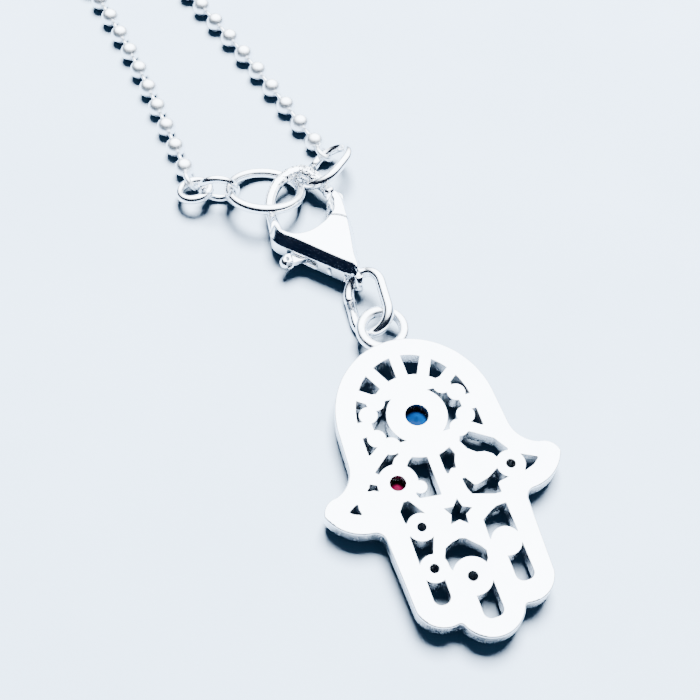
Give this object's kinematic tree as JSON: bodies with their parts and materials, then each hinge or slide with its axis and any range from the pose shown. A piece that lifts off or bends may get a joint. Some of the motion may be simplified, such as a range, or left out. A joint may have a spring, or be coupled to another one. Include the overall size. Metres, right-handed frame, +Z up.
{
  "type": "hamsa pendant",
  "caption": "Pierced silver hamsa pendant with blue and red stones, hanging by a jump ring from a lobster clasp on a ball chain necklace, lying face down.",
  "frame": {"origin": "on the surface under the middle of the eye, at the table of the blue stone", "axes": "+Z up from the surface, +Y from the eye towards the bail ring, +X to the right seen from above"},
  "size_m": [0.1151, 0.1993, 0.0035],
  "materials": {
    "plate_silver": "polished silver, plain back",
    "blue_stone": "faceted blue stone",
    "red_stone": "faceted red stone",
    "silver": "polished silver wire",
    "clasp_silver": "polished cast silver",
    "chain_silver": "polished silver beads"
  },
  "bodies": {
    "necklace": {"hamsa_plate": "plate_silver", "eye_stone": "blue_stone", "side_stone": "red_stone", "jump_ring": "silver", "clasp_body": "clasp_silver", "clasp_pin": "clasp_silver", "clasp_ring": "silver", "end_ring_left_1": "silver", "end_ring_left_2": "silver", "end_ring_right": "silver", "ball_chain": "chain_silver"},
    "lever": {"clasp_lever": "clasp_silver"}
  },
  "joints": [
    {"name": "lever_hinge", "type": "hinge", "parent": "necklace", "child": "lever", "pos_m": [-0.0013, 0.0176, 0.0015], "axis": [0, 0, 1], "range_deg": [0, 18], "stiffness_Nm_per_rad": 0.001}
  ]
}
